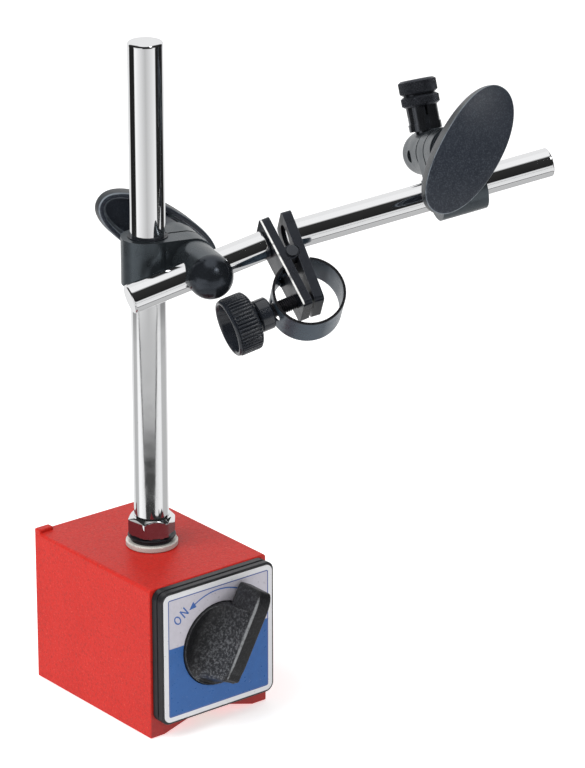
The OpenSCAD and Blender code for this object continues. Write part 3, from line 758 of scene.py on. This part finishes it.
def handle():
    """Slab with softly rounded edges; its outer end overhangs the label."""
    bm = bmesh.new()
    rings = []
    levels, edge, overhang = 26, 0.75, dial_r - 2.2
    tip_share, tail_share, narrow_share = 0.80, 0.2, 0.93
    for i in range(levels + 1):
        f = i / levels
        v = -handle_tail + (handle_tip + handle_tail) * f
        half = handle_half * (0.93 + 0.10 * f)
        front = handle_top_y
        if f > tip_share:
            front += 1.7 * ((f - tip_share) / (1 - tip_share)) ** 2
        if f < tail_share:
            front += 2.2 * ((tail_share - f) / tail_share) ** 2
        if f > narrow_share:
            half *= 1 - 0.16 * ((f - narrow_share) / (1 - narrow_share)) ** 2
        back = dial_rim + 1.5 if v < overhang else label_lo[1] - 1.4
        mid, reach = (front + back) / 2, abs(front - back) / 2
        section = []
        for cx, cy, start in QUADRANTS:
            for k in range(5):
                t = math.radians(start + 22.5 * k)
                section.append((cx * (half - edge) + edge * math.cos(t),
                                mid + cy * (reach - edge) + edge * math.sin(t), v))
        rings.append(section)
    ring_loft(bm, rings, caps=True)
    finish_mesh("switch_handle", bm, KNOB, "switch", M_DIAL,
                ("switch_knob",), sharp=48, bevel=0.5, segments=3)


switch_knob()
handle()


# -------------------------------------------- CAD nodes kept as they are

def dress(name, material, bevel):
    """Gives a CAD node smooth shading, a material and an edge where its faces are joined."""
    obj = nodes[name]
    mesh = obj.data
    mesh.shade_smooth()
    mesh.set_sharp_from_angle(angle=math.radians(BEVEL_ANGLE))
    mesh.materials.clear()
    mesh.materials.append(material)
    if bevel:
        flat = obj.modifiers.new("flat", "DECIMATE")
        flat.decimate_type = "DISSOLVE"
        flat.angle_limit = math.radians(1)
        add_bevel(obj, bevel, 3)
        weld = obj.modifiers.new("weld", "WELD")
        weld.mode = "CONNECTED"
        weld.merge_threshold = 0.005 * MM


for name, material, bevel in (
        ("spacer_bottom", M_BRASS, 0.0), ("rotor_core", M_CORE, 0.15),
        ("rotor_magnet", M_MAGNET, 0.2), ("rotor_shoe", M_IRON, 0.15),
        ("knob_pin", M_STEEL, 0.0), ("bezel_screw", M_ZINC, 0.15),
        ("cover_screw", M_ZINC, 0.2), ("collar_liner", M_BLUED, 0.0),
        ("holder_liner", M_BLUED, 0.0), ("clamp_body", M_SLEEVE, 0.7),
        ("holder_body", M_SLEEVE, 0.7), ("arm_sleeve", M_DOME, 0.35),
        ("holder_sleeve", M_SLEEVE, 0.35), ("draw_bolt", M_STEEL, 0.2),
        ("holder_bolt", M_STEEL, 0.2), ("clamp_washer", M_SLEEVE, 0.3),
        ("holder_washer", M_SLEEVE, 0.3), ("clamp_insert", M_BRASS, 0.15),
        ("holder_insert", M_BRASS, 0.15), ("left_plate", M_HIGHLIT_EDGE, 0.22),
        ("right_plate", M_BLUED, 0.22), ("hinge_pin", M_BARREL, 0.12),
        ("band_spring", M_SPRING, 0.12), ("spring_rivet", M_SPRING, 0.2),
        ("thrust_collar", M_THUMB, 0.4), ("stem_barrel", M_BARREL, 0.2),
        ("lock_washer", M_SCREW, 0.15), ("column_washer", M_PALE, 0.35)):
    dress(name, material, bevel)


# -------------------------------------------- column, nut and rods

def turned_piece(name, place, body, material, profile, stands_for, axis="z", lift=0.0):
    bm = bmesh.new()
    lathe(bm, profile, axis, lift)
    finish_mesh(name, bm, place, body, material, stands_for, sharp=30)


def bar_profile(radius, lo, hi, edge, foot_edge=None):
    """Bar with broken ends."""
    foot_edge = edge if foot_edge is None else foot_edge
    points = [(1, lo), (radius - foot_edge - 0.3, lo), (radius - foot_edge, lo)]
    for k in range(1, 5):
        t = math.radians(90 * k / 4)
        points.append((radius - foot_edge + foot_edge * math.sin(t),
                       lo + foot_edge - foot_edge * math.cos(t)))
    points += [(radius, lo + foot_edge + 0.4), (radius, hi - edge - 0.4)]
    for k in range(5):
        t = math.radians(90 * k / 4)
        points.append((radius - edge + edge * math.cos(t), hi - edge + edge * math.sin(t)))
    return points + [(radius - edge - 0.4, hi), (1, hi)]


column_lo, column_hi = box_of("column")
column_r = (column_hi[0] - column_lo[0]) / 2
nut_lo, nut_hi = box_of("column_nut")
stud_r, shoulder_z = 4.0, nut_lo[2] + 2.0
turned_piece("column_bar", ROW, "base", M_CHROME,
             [(1, column_lo[2]), (stud_r - 0.4, column_lo[2]), (stud_r, column_lo[2] + 0.4),
              (stud_r, shoulder_z), (column_r - 0.4, shoulder_z)]
             + bar_profile(column_r, shoulder_z, column_hi[2], 0.9, 0.3)[3:], ("column",))

nut_half = (nut_hi[1] - nut_lo[1]) / 2
nut_bore = column_r + 0.05
foot_t, foot_r, foot_edge = 0.5, nut_half * 1.04, 0.2


def hex_nut():
    """Chrome nut: a hexagon turned down at both ends."""
    count, turn = 120, math.radians(-25)
    across = nut_half * 0.9
    widest, chamfer_r = across * 1.14, across * 0.97
    height = nut_hi[2] - nut_lo[2]
    rings = []
    levels = [foot_t, 0.8, 1.2, 2.0, height / 2] + [height - 0.1 * k for k in range(15, -1, -1)]
    for up in levels:
        cone = chamfer_r + min((up - foot_t + 0.1) * 1.5, height - up)
        ring = []
        for i, (c, s) in enumerate(circle(1, count, turn)):
            flat = across / math.cos(math.radians(360 * i / count % 60 - 30))
            radius = min(flat, cone, widest)
            ring.append((radius * c, radius * s, nut_lo[2] + up))
        rings.append(ring)
    for z in (nut_hi[2], nut_lo[2] + foot_t):
        rings.append([(u, v, z) for u, v in circle(nut_bore, count, turn)])
    bm = bmesh.new()
    ring_loft(bm, rings + rings[:1])
    finish_mesh("column_hex", bm, ROW, "base", M_CHROME, ("column_nut",),
                sharp=24)


hex_nut()
foot_z = nut_lo[2]
turned_piece("nut_foot", ROW, "base", M_SCREW,
             [(nut_bore, foot_z), (foot_r - foot_edge, foot_z), (foot_r, foot_z + 0.15),
              (foot_r, foot_z + 0.35), (foot_r - foot_edge, foot_z + foot_t),
              (nut_bore, foot_z + foot_t)], ("column_nut",))

rod_r, rod_edge = 5.0, 0.55
free_end, plate_end = -27.0, 23.2
turned_piece("first_rod", ARM, "arm", M_CHROME,
             bar_profile(rod_r, free_end, plate_end, rod_edge), ("arm_rod",), "x")

rod_lo, rod_hi = local_range("right_rod", HINGE, 0)
seat = local_range("right_plate", HINGE, 0)[1]
spigot_r = 3.4
turned_piece("second_rod", HINGE, "second_plate", M_CHROME,
             [(1, rod_lo), (spigot_r - 0.3, rod_lo), (spigot_r, rod_lo + 0.3),
              (spigot_r, seat), (rod_r - 0.3, seat)]
             + bar_profile(rod_r, seat, rod_hi, rod_edge, 0.3)[3:], ("right_rod",), "x", rod_z)


# -------------------------------------------- wing knobs

BLUNT = 0.92            # power that squares the oval slightly

def oval(half_l, half_w, turn):
    """Outline of the wing, a blunt oval turned about the bolt."""
    t0 = math.radians(turn)
    c0, s0 = math.cos(t0), math.sin(t0)
    points = []
    for c, s in circle(1, 120):
        u = half_l * math.copysign(abs(c) ** BLUNT, c)
        v = half_w * math.copysign(abs(s) ** BLUNT, s)
        points.append((u * c0 - v * s0, u * s0 + v * c0))
    return points


def wing(name, place, body, node, material, turn, wing_l, wing_w):
    """Crowned oval shell around a hub; the face is one smooth crown."""
    thickness, crown_r, wall, hub_r, insert_r = 9.5, 62.0, 3.0, 6.6, 4.8
    y_lo, top = local_range(node, place, 1)
    rim = top - thickness

    def crown(x, z, sunk):
        return top - sunk - (crown_r - math.sqrt(max(1.0, crown_r ** 2 - x * x - z * z)))

    def below(inset, sunk, share=1.0):
        """Ring of the outline, inset and scaled, sunk below the crown."""
        points = oval((wing_l / 2 - inset) * share, (wing_w / 2 - inset) * share, turn)
        return [(boss_offset + u, crown(u, v, sunk), v) for u, v in points]

    def above(inset, rise):
        """Ring of the outline, inset, at a height over the rim."""
        points = oval(wing_l / 2 - inset, wing_w / 2 - inset, turn)
        return [(boss_offset + u, rim + rise, v) for u, v in points]

    # inner floor, inner wall, rim, outer wall, edge and crown
    rings = [below(wall, 2.6, share) for share in (0.15, 0.4, 0.7, 0.93)]
    rings += [below(wall, 2.9), below(wall - 0.25, 3.4)]
    rings += [above(inset, rise) for inset, rise in (
        (wall - 0.8, 1.0), (wall - 1.1, 0.25), (wall - 1.5, 0.0), (0.85, 0.0), (0.40, 0.12),
        (0.10, 0.45), (0.0, 1.0))]
    rings += [below(inset, sunk) for inset, sunk in (
        (0.0, 0.9), (0.0, 0.45), (0.05, 0.22), (0.18, 0.07), (0.42, 0.01), (1.10, 0.0))]
    rings += [below(1.3, 0.0, share) for share in (0.90, 0.8, 0.65, 0.45, 0.25, 0.08, 0.004)]
    bm = bmesh.new()
    ring_loft(bm, rings, caps=True)
    # hub: a flared sleeve that meets the hollow's floor
    hub = []
    for radius, y in ((insert_r, y_lo), (hub_r - 0.5, y_lo), (hub_r - 0.15, y_lo + 0.15),
                      (hub_r, y_lo + 0.5), (hub_r, top - 5.2), (hub_r + 0.3, top - 4.2),
                      (hub_r + 1.0, top - 3.3), (hub_r + 1.6, top - 1.6), (insert_r, top - 1.6),
                      (insert_r, y_lo)):
        hub.append([(boss_offset + u, y, v) for u, v in circle(radius, 64)])
    ring_loft(bm, hub)
    finish_mesh(name, bm, place, body, material, (node,), sharp=52)


wing("column_wing", CLAMP, "clamp_wing", "clamp_knob", wing_plastic("wing_one", clamp_y),
     -33.0, 49.2, 18.8)
wing("holder_wing", HOLDER, "holder_wing", "holder_knob", wing_plastic("wing_two", hold_y),
     45.3, 47.4, 20.6)


# -------------------------------------------- fine adjustment

screw_x0, screw_x1 = local_range("adjust_screw", PLATES, 0)
screw_axis_z = (PLATES.inverted() @ joint_pos("adjust_turn")).z
thumb_lo, thumb_hi = local_range("thumb_knob", PLATES, 0)


def threaded_screw():
    """Black adjusting screw: plain neck, then a real helix to the tip."""
    neck_r, thread_r, pitch, cut = 3.6, 2.42, 0.7, 0.36
    core, tip_r, point = thread_r - 0.3, 1.6, 1.2
    neck_start = thumb_hi - 1.2
    neck_end = local_range("thrust_collar", PLATES, 0)[0] - 0.05
    count, per_turn = 40, 10

    def plain(*profile):
        return [[(x, u, screw_axis_z + v) for u, v in circle(r, count)] for x, r in profile]

    rings = plain((screw_x0, 0.02), (screw_x0, core), (neck_start, core), (neck_start, neck_r),
                  (neck_end - 0.3, neck_r), (neck_end, neck_r - 0.3), (neck_end, thread_r - cut))
    length = screw_x1 - point - neck_end
    steps = round(length / (pitch / per_turn))
    for k in range(steps + 1):
        x = neck_end + 0.02 + length * k / steps
        fade = min(1.0, (screw_x1 - point - x) / 0.8)
        ring = []
        for i, (c, s) in enumerate(circle(1, count)):
            wave = abs(((x / pitch - i / count) % 1) * 2 - 1)
            radius = thread_r - cut + (cut * min(1, wave * 1.35)) * fade
            ring.append((x, radius * c, screw_axis_z + radius * s))
        rings.append(ring)
    rings += plain((screw_x1 - 1.0, tip_r), (screw_x1 - 0.3, tip_r), (screw_x1, tip_r - 0.3),
                   (screw_x1, 0.02))
    bm = bmesh.new()
    ring_loft(bm, rings, caps=True)
    finish_mesh("thread", bm, PLATES, "screw", M_SCREW, ("adjust_screw",),
                sharp=60)


def thumb_knob():
    """Ribbed cup with a smooth lip at the open end."""
    ribs, wave = 48, (0.0, 0.72, 1.0, 1.0, 0.72, 0.0)
    count = ribs * len(wave)
    outer, depth = 10.0, 0.62
    lo, hi = thumb_lo, thumb_hi

    def ribbed(x, base, share=0.0):
        ring = []
        for i, (c, s) in enumerate(circle(1, count)):
            radius = base - depth * share * (1 - wave[i % len(wave)])
            ring.append((x, radius * c, screw_axis_z + radius * s))
        return ring

    # inside of the cup, lip, ribs and back, as distance, radius and depth of the ribs
    rings = [ribbed(lo + up, radius) for up, radius in (
        (6.9, 0.4), (6.9, 5.6), (6.6, 6.6), (5.8, 7.2), (0.9, 8.15), (0.35, 8.35), (0.06, 8.65),
        (0.0, 8.9), (0.05, 9.3), (0.3, 9.62), (0.75, 9.75), (0.95, 9.6), (1.1, 9.45))]
    rings += [ribbed(lo + 1.35, outer, 1), ribbed(lo + 2.0, outer, 1)]
    rings += [ribbed(hi - down, outer - less, share) for down, less, share in (
        (1.9, 0.0, 1), (1.25, 0.15, 0.8), (0.75, 0.75, 0.25), (0.3, 1.4, 0), (0.08, 2.2, 0),
        (0.0, 3.0, 0), (0.0, outer - 0.4, 0))]
    bm = bmesh.new()
    ring_loft(bm, rings, caps=True)
    finish_mesh("thumb_wheel", bm, PLATES, "screw", M_THUMB,
                ("thumb_knob",), sharp=40)


threaded_screw()
thumb_knob()


# -------------------------------------------- knurled rings of the stem holder

def knurled_ring(name, node, body, radius, bore_radius):
    """Ring with a crossed knurl, cut back at both ends."""
    lo, hi = local_range(node, STEM, 0)
    teeth, per_tooth, pitch, depth, end = 36, 6, 1.15, 0.42, 0.45
    count = teeth * per_tooth
    rows = max(14, round((hi - lo) / pitch * per_tooth))

    def plain(*profile):
        return [[(x, u, v) for u, v in circle(r, count)] for x, r in profile]

    rings = plain((lo, bore_radius), (lo, radius - 1.0), (lo + 0.3, radius - 0.55))
    for k in range(rows + 1):
        x = lo + end + (hi - lo - 2 * end) * k / rows
        ring = []
        for i, (c, s) in enumerate(circle(1, count)):
            a, b = i / per_tooth, (x - lo) / pitch
            one = abs(((a + b) % 1) * 2 - 1)
            two = abs(((a - b) % 1) * 2 - 1)
            height = min(1.0, min(one, two) * 2.3) * min(1.0, min(k, rows - k) / 1.5)
            r = radius - depth * (1 - height)
            ring.append((x, r * c, r * s))
        rings.append(ring)
    rings += plain((hi - 0.3, radius - 0.55), (hi, radius - 1.0), (hi, bore_radius))
    bm = bmesh.new()
    ring_loft(bm, rings + rings[:1])
    finish_mesh(name, bm, STEM, body, M_KNURL, (node,), sharp=50)


knurled_ring("knurled_lock", "lock_ring", "ring", 6.6, 5.45)
knurled_ring("knurled_nut", "stem_nut", "nut", 6.6, 4.6)


# -------------------------------------------- floor, light and camera

VIEW_AZ, VIEW_EL = math.radians(-38.876), math.radians(20.761)
TARGET = Vector((COLUMN_X + 0.062112, 0.0, 0.098965))
DISTANCE, LENS = 1.371853, 184.025
back = Vector((math.sin(VIEW_AZ) * math.cos(VIEW_EL), -math.cos(VIEW_AZ) * math.cos(VIEW_EL),
               math.sin(VIEW_EL)))
right = Vector((math.cos(VIEW_AZ), math.sin(VIEW_AZ), 0))
level = Vector((math.sin(VIEW_AZ), -math.cos(VIEW_AZ), 0))

camera_data = bpy.data.cameras.new("camera")
camera_data.lens = LENS
camera_data.sensor_width = 36
camera_data.clip_start = 0.05
camera_data.clip_end = 20
camera = bpy.data.objects.new("camera", camera_data)
camera.location = TARGET + back * DISTANCE
camera.rotation_euler = (math.pi / 2 - VIEW_EL, 0, VIEW_AZ)
bpy.context.scene.collection.objects.link(camera)
bpy.context.scene.camera = camera


def floor():
    mesh = bpy.data.meshes.new("floor")
    size = 6.0
    mesh.from_pydata([(-size, -size, 0), (size, -size, 0), (size, size, 0), (-size, size, 0)], [],
                     [(0, 1, 2, 3)])
    obj = bpy.data.objects.new("floor", mesh)
    obj.location.z = -0.0002
    bpy.context.scene.collection.objects.link(obj)
    mat, n, bsdf = node_material("floor_paper")
    bsdf.inputs["Base Color"].default_value = (0.86, 0.86, 0.86, 1)
    bsdf.inputs["Roughness"].default_value = 0.9
    bsdf.inputs["Emission Color"].default_value = (1, 1, 1, 1)
    bsdf.inputs["Emission Strength"].default_value = 0.55
    n.link(n.bump(n.noise(900, 3), 0.02, 0.05), bsdf.inputs["Normal"])
    mesh.materials.append(mat)
    obj.visible_glossy = False


floor()


def area_light(name, azimuth, elevation, distance, size, power):
    """Soft rectangular light, placed by direction from the target."""
    az, el = VIEW_AZ + math.radians(azimuth), math.radians(elevation)
    towards = Vector((math.sin(az) * math.cos(el), -math.cos(az) * math.cos(el), math.sin(el)))
    data = bpy.data.lights.new(name, "AREA")
    data.shape = "RECTANGLE"
    data.size, data.size_y = size
    data.energy = power
    obj = bpy.data.objects.new(name, data)
    obj.location = TARGET + towards * distance
    obj.rotation_euler = towards.to_track_quat("Z", "Y").to_euler()
    obj.visible_glossy = False
    bpy.context.scene.collection.objects.link(obj)


area_light("key", -50, 48, 1.1, (0.9, 0.9), 8.5)
area_light("fill", 55, 25, 1.3, (0.8, 1.0), 1.2)


# the wedge widens with height: half width at one elevation, growth per degree, limit
WEDGE_HALF, WEDGE_EL, WEDGE_GROWTH, WEDGE_MAX, WEDGE_SHIFT = 59, 20, 12.4, 70.0, 5.0


def studio_world():
    """White surroundings for diffuse light; shaped panels for mirror reflections.

    Azimuth is measured from the camera's side of the object, both angles in degrees.
    """
    world = bpy.data.worlds.new("studio")
    world.use_nodes = True
    tree = world.node_tree
    tree.nodes.clear()
    n = Nodes(tree)
    out = n.add("ShaderNodeOutputWorld")
    direction = n.coord.outputs["Generated"]

    elevation = n.times(n.math("ARCSINE", n.dot(direction, UP)), 180 / math.pi)
    azimuth = n.times(n.math("ARCTAN2", n.dot(direction, right), n.dot(direction, level)),
                      180 / math.pi)

    def between(value, lo, hi, soft):
        return n.times(n.span(value, lo - soft, lo + soft, 0, 1),
                       n.span(value, hi - soft, hi + soft, 1, 0))

    def screen(base, mask, bright):
        """Lays a panel over the base; its brightness is a number or a socket."""
        kept = n.times(base, n.math("SUBTRACT", 1.0, mask))
        return n.math("ADD", kept, n.times(mask, bright))

    # dark room in front of the object, bright wall behind it
    tone = n.span(elevation, -10, 60, 0.020, 0.035)
    low = n.span(elevation, -20.2, -18.8, 1, 0)
    behind = n.math("SUBTRACT", 1.0, between(azimuth, -123, 134, 3))
    tone = screen(tone, behind, 1.05)
    tone = screen(tone, n.times(n.math("SUBTRACT", 1.0, behind), low), 0.62)
    # white table, greyer towards the camera
    shade = n.math("ADD", n.span(azimuth, -66, 0, 1.25, 0.66), n.span(azimuth, 0, 60, 0.0, 0.44))
    front = n.math("MAXIMUM", between(azimuth, -74, 66, 2.5),
                   n.times(between(azimuth, -86, 82, 4), low))
    tone = screen(tone, n.times(between(elevation, -95, -8, 1.2), front), shade)
    # grey wedge seen in an upright bar, with a dark outline and a dark foot
    reach = n.math("ADD", WEDGE_HALF + WEDGE_GROWTH * WEDGE_EL, n.times(elevation, WEDGE_GROWTH))
    past = n.math("SUBTRACT", n.math("ABSOLUTE", n.math("ADD", azimuth, WEDGE_SHIFT)),
                  n.math("MINIMUM", reach, WEDGE_MAX))
    wedge = n.span(past, -3, 3, 1, 0)
    tone = screen(tone, n.times(wedge, low), 0.66)
    tone = screen(tone, n.times(between(past, -4.0, 4.0, 1.5), low), 0.04)
    tone = screen(tone, n.times(wedge, n.span(elevation, -21.75, -21.3, 1, 0)), 0.05)
    # floor under the object, dark line around it, softbox overhead
    tone = screen(tone, n.span(elevation, -54, -50, 1, 0), 0.66)
    tone = screen(tone, between(elevation, -52.5, -48.5, 0.7), 0.10)
    tone = screen(tone, n.span(elevation, 60, 70, 0, 1), 1.15)
    # upright panels that keep the bars bright when seen from low down
    sides = n.math("MAXIMUM", between(azimuth, -74, -16, 3), between(azimuth, 47, 66, 3))
    tone = screen(tone, n.times(between(elevation, -9, 1, 1.5), sides), 1.0)
    # small lamp that sparkles on dark domes and rims
    lamp = n.times(between(azimuth, 38, 54, 2), between(elevation, 40, 54, 2))
    tone = screen(tone, lamp, 9.0)

    glossy = n.add("ShaderNodeBackground")
    n.link(tone, glossy.inputs["Strength"])
    plain = n.add("ShaderNodeBackground")
    path = n.add("ShaderNodeLightPath")
    n.link(n.span(path.outputs["Is Camera Ray"], 0, 1, 0.75, 1.4), plain.inputs["Strength"])
    mixed = n.add("ShaderNodeMixShader")
    n.link(path.outputs["Is Glossy Ray"], mixed.inputs[0])
    n.link(plain.outputs[0], mixed.inputs[1])
    n.link(glossy.outputs[0], mixed.inputs[2])
    n.link(mixed.outputs[0], out.inputs["Surface"])
    bpy.context.scene.world = world


studio_world()
bpy.context.scene.view_settings.view_transform = "Standard"
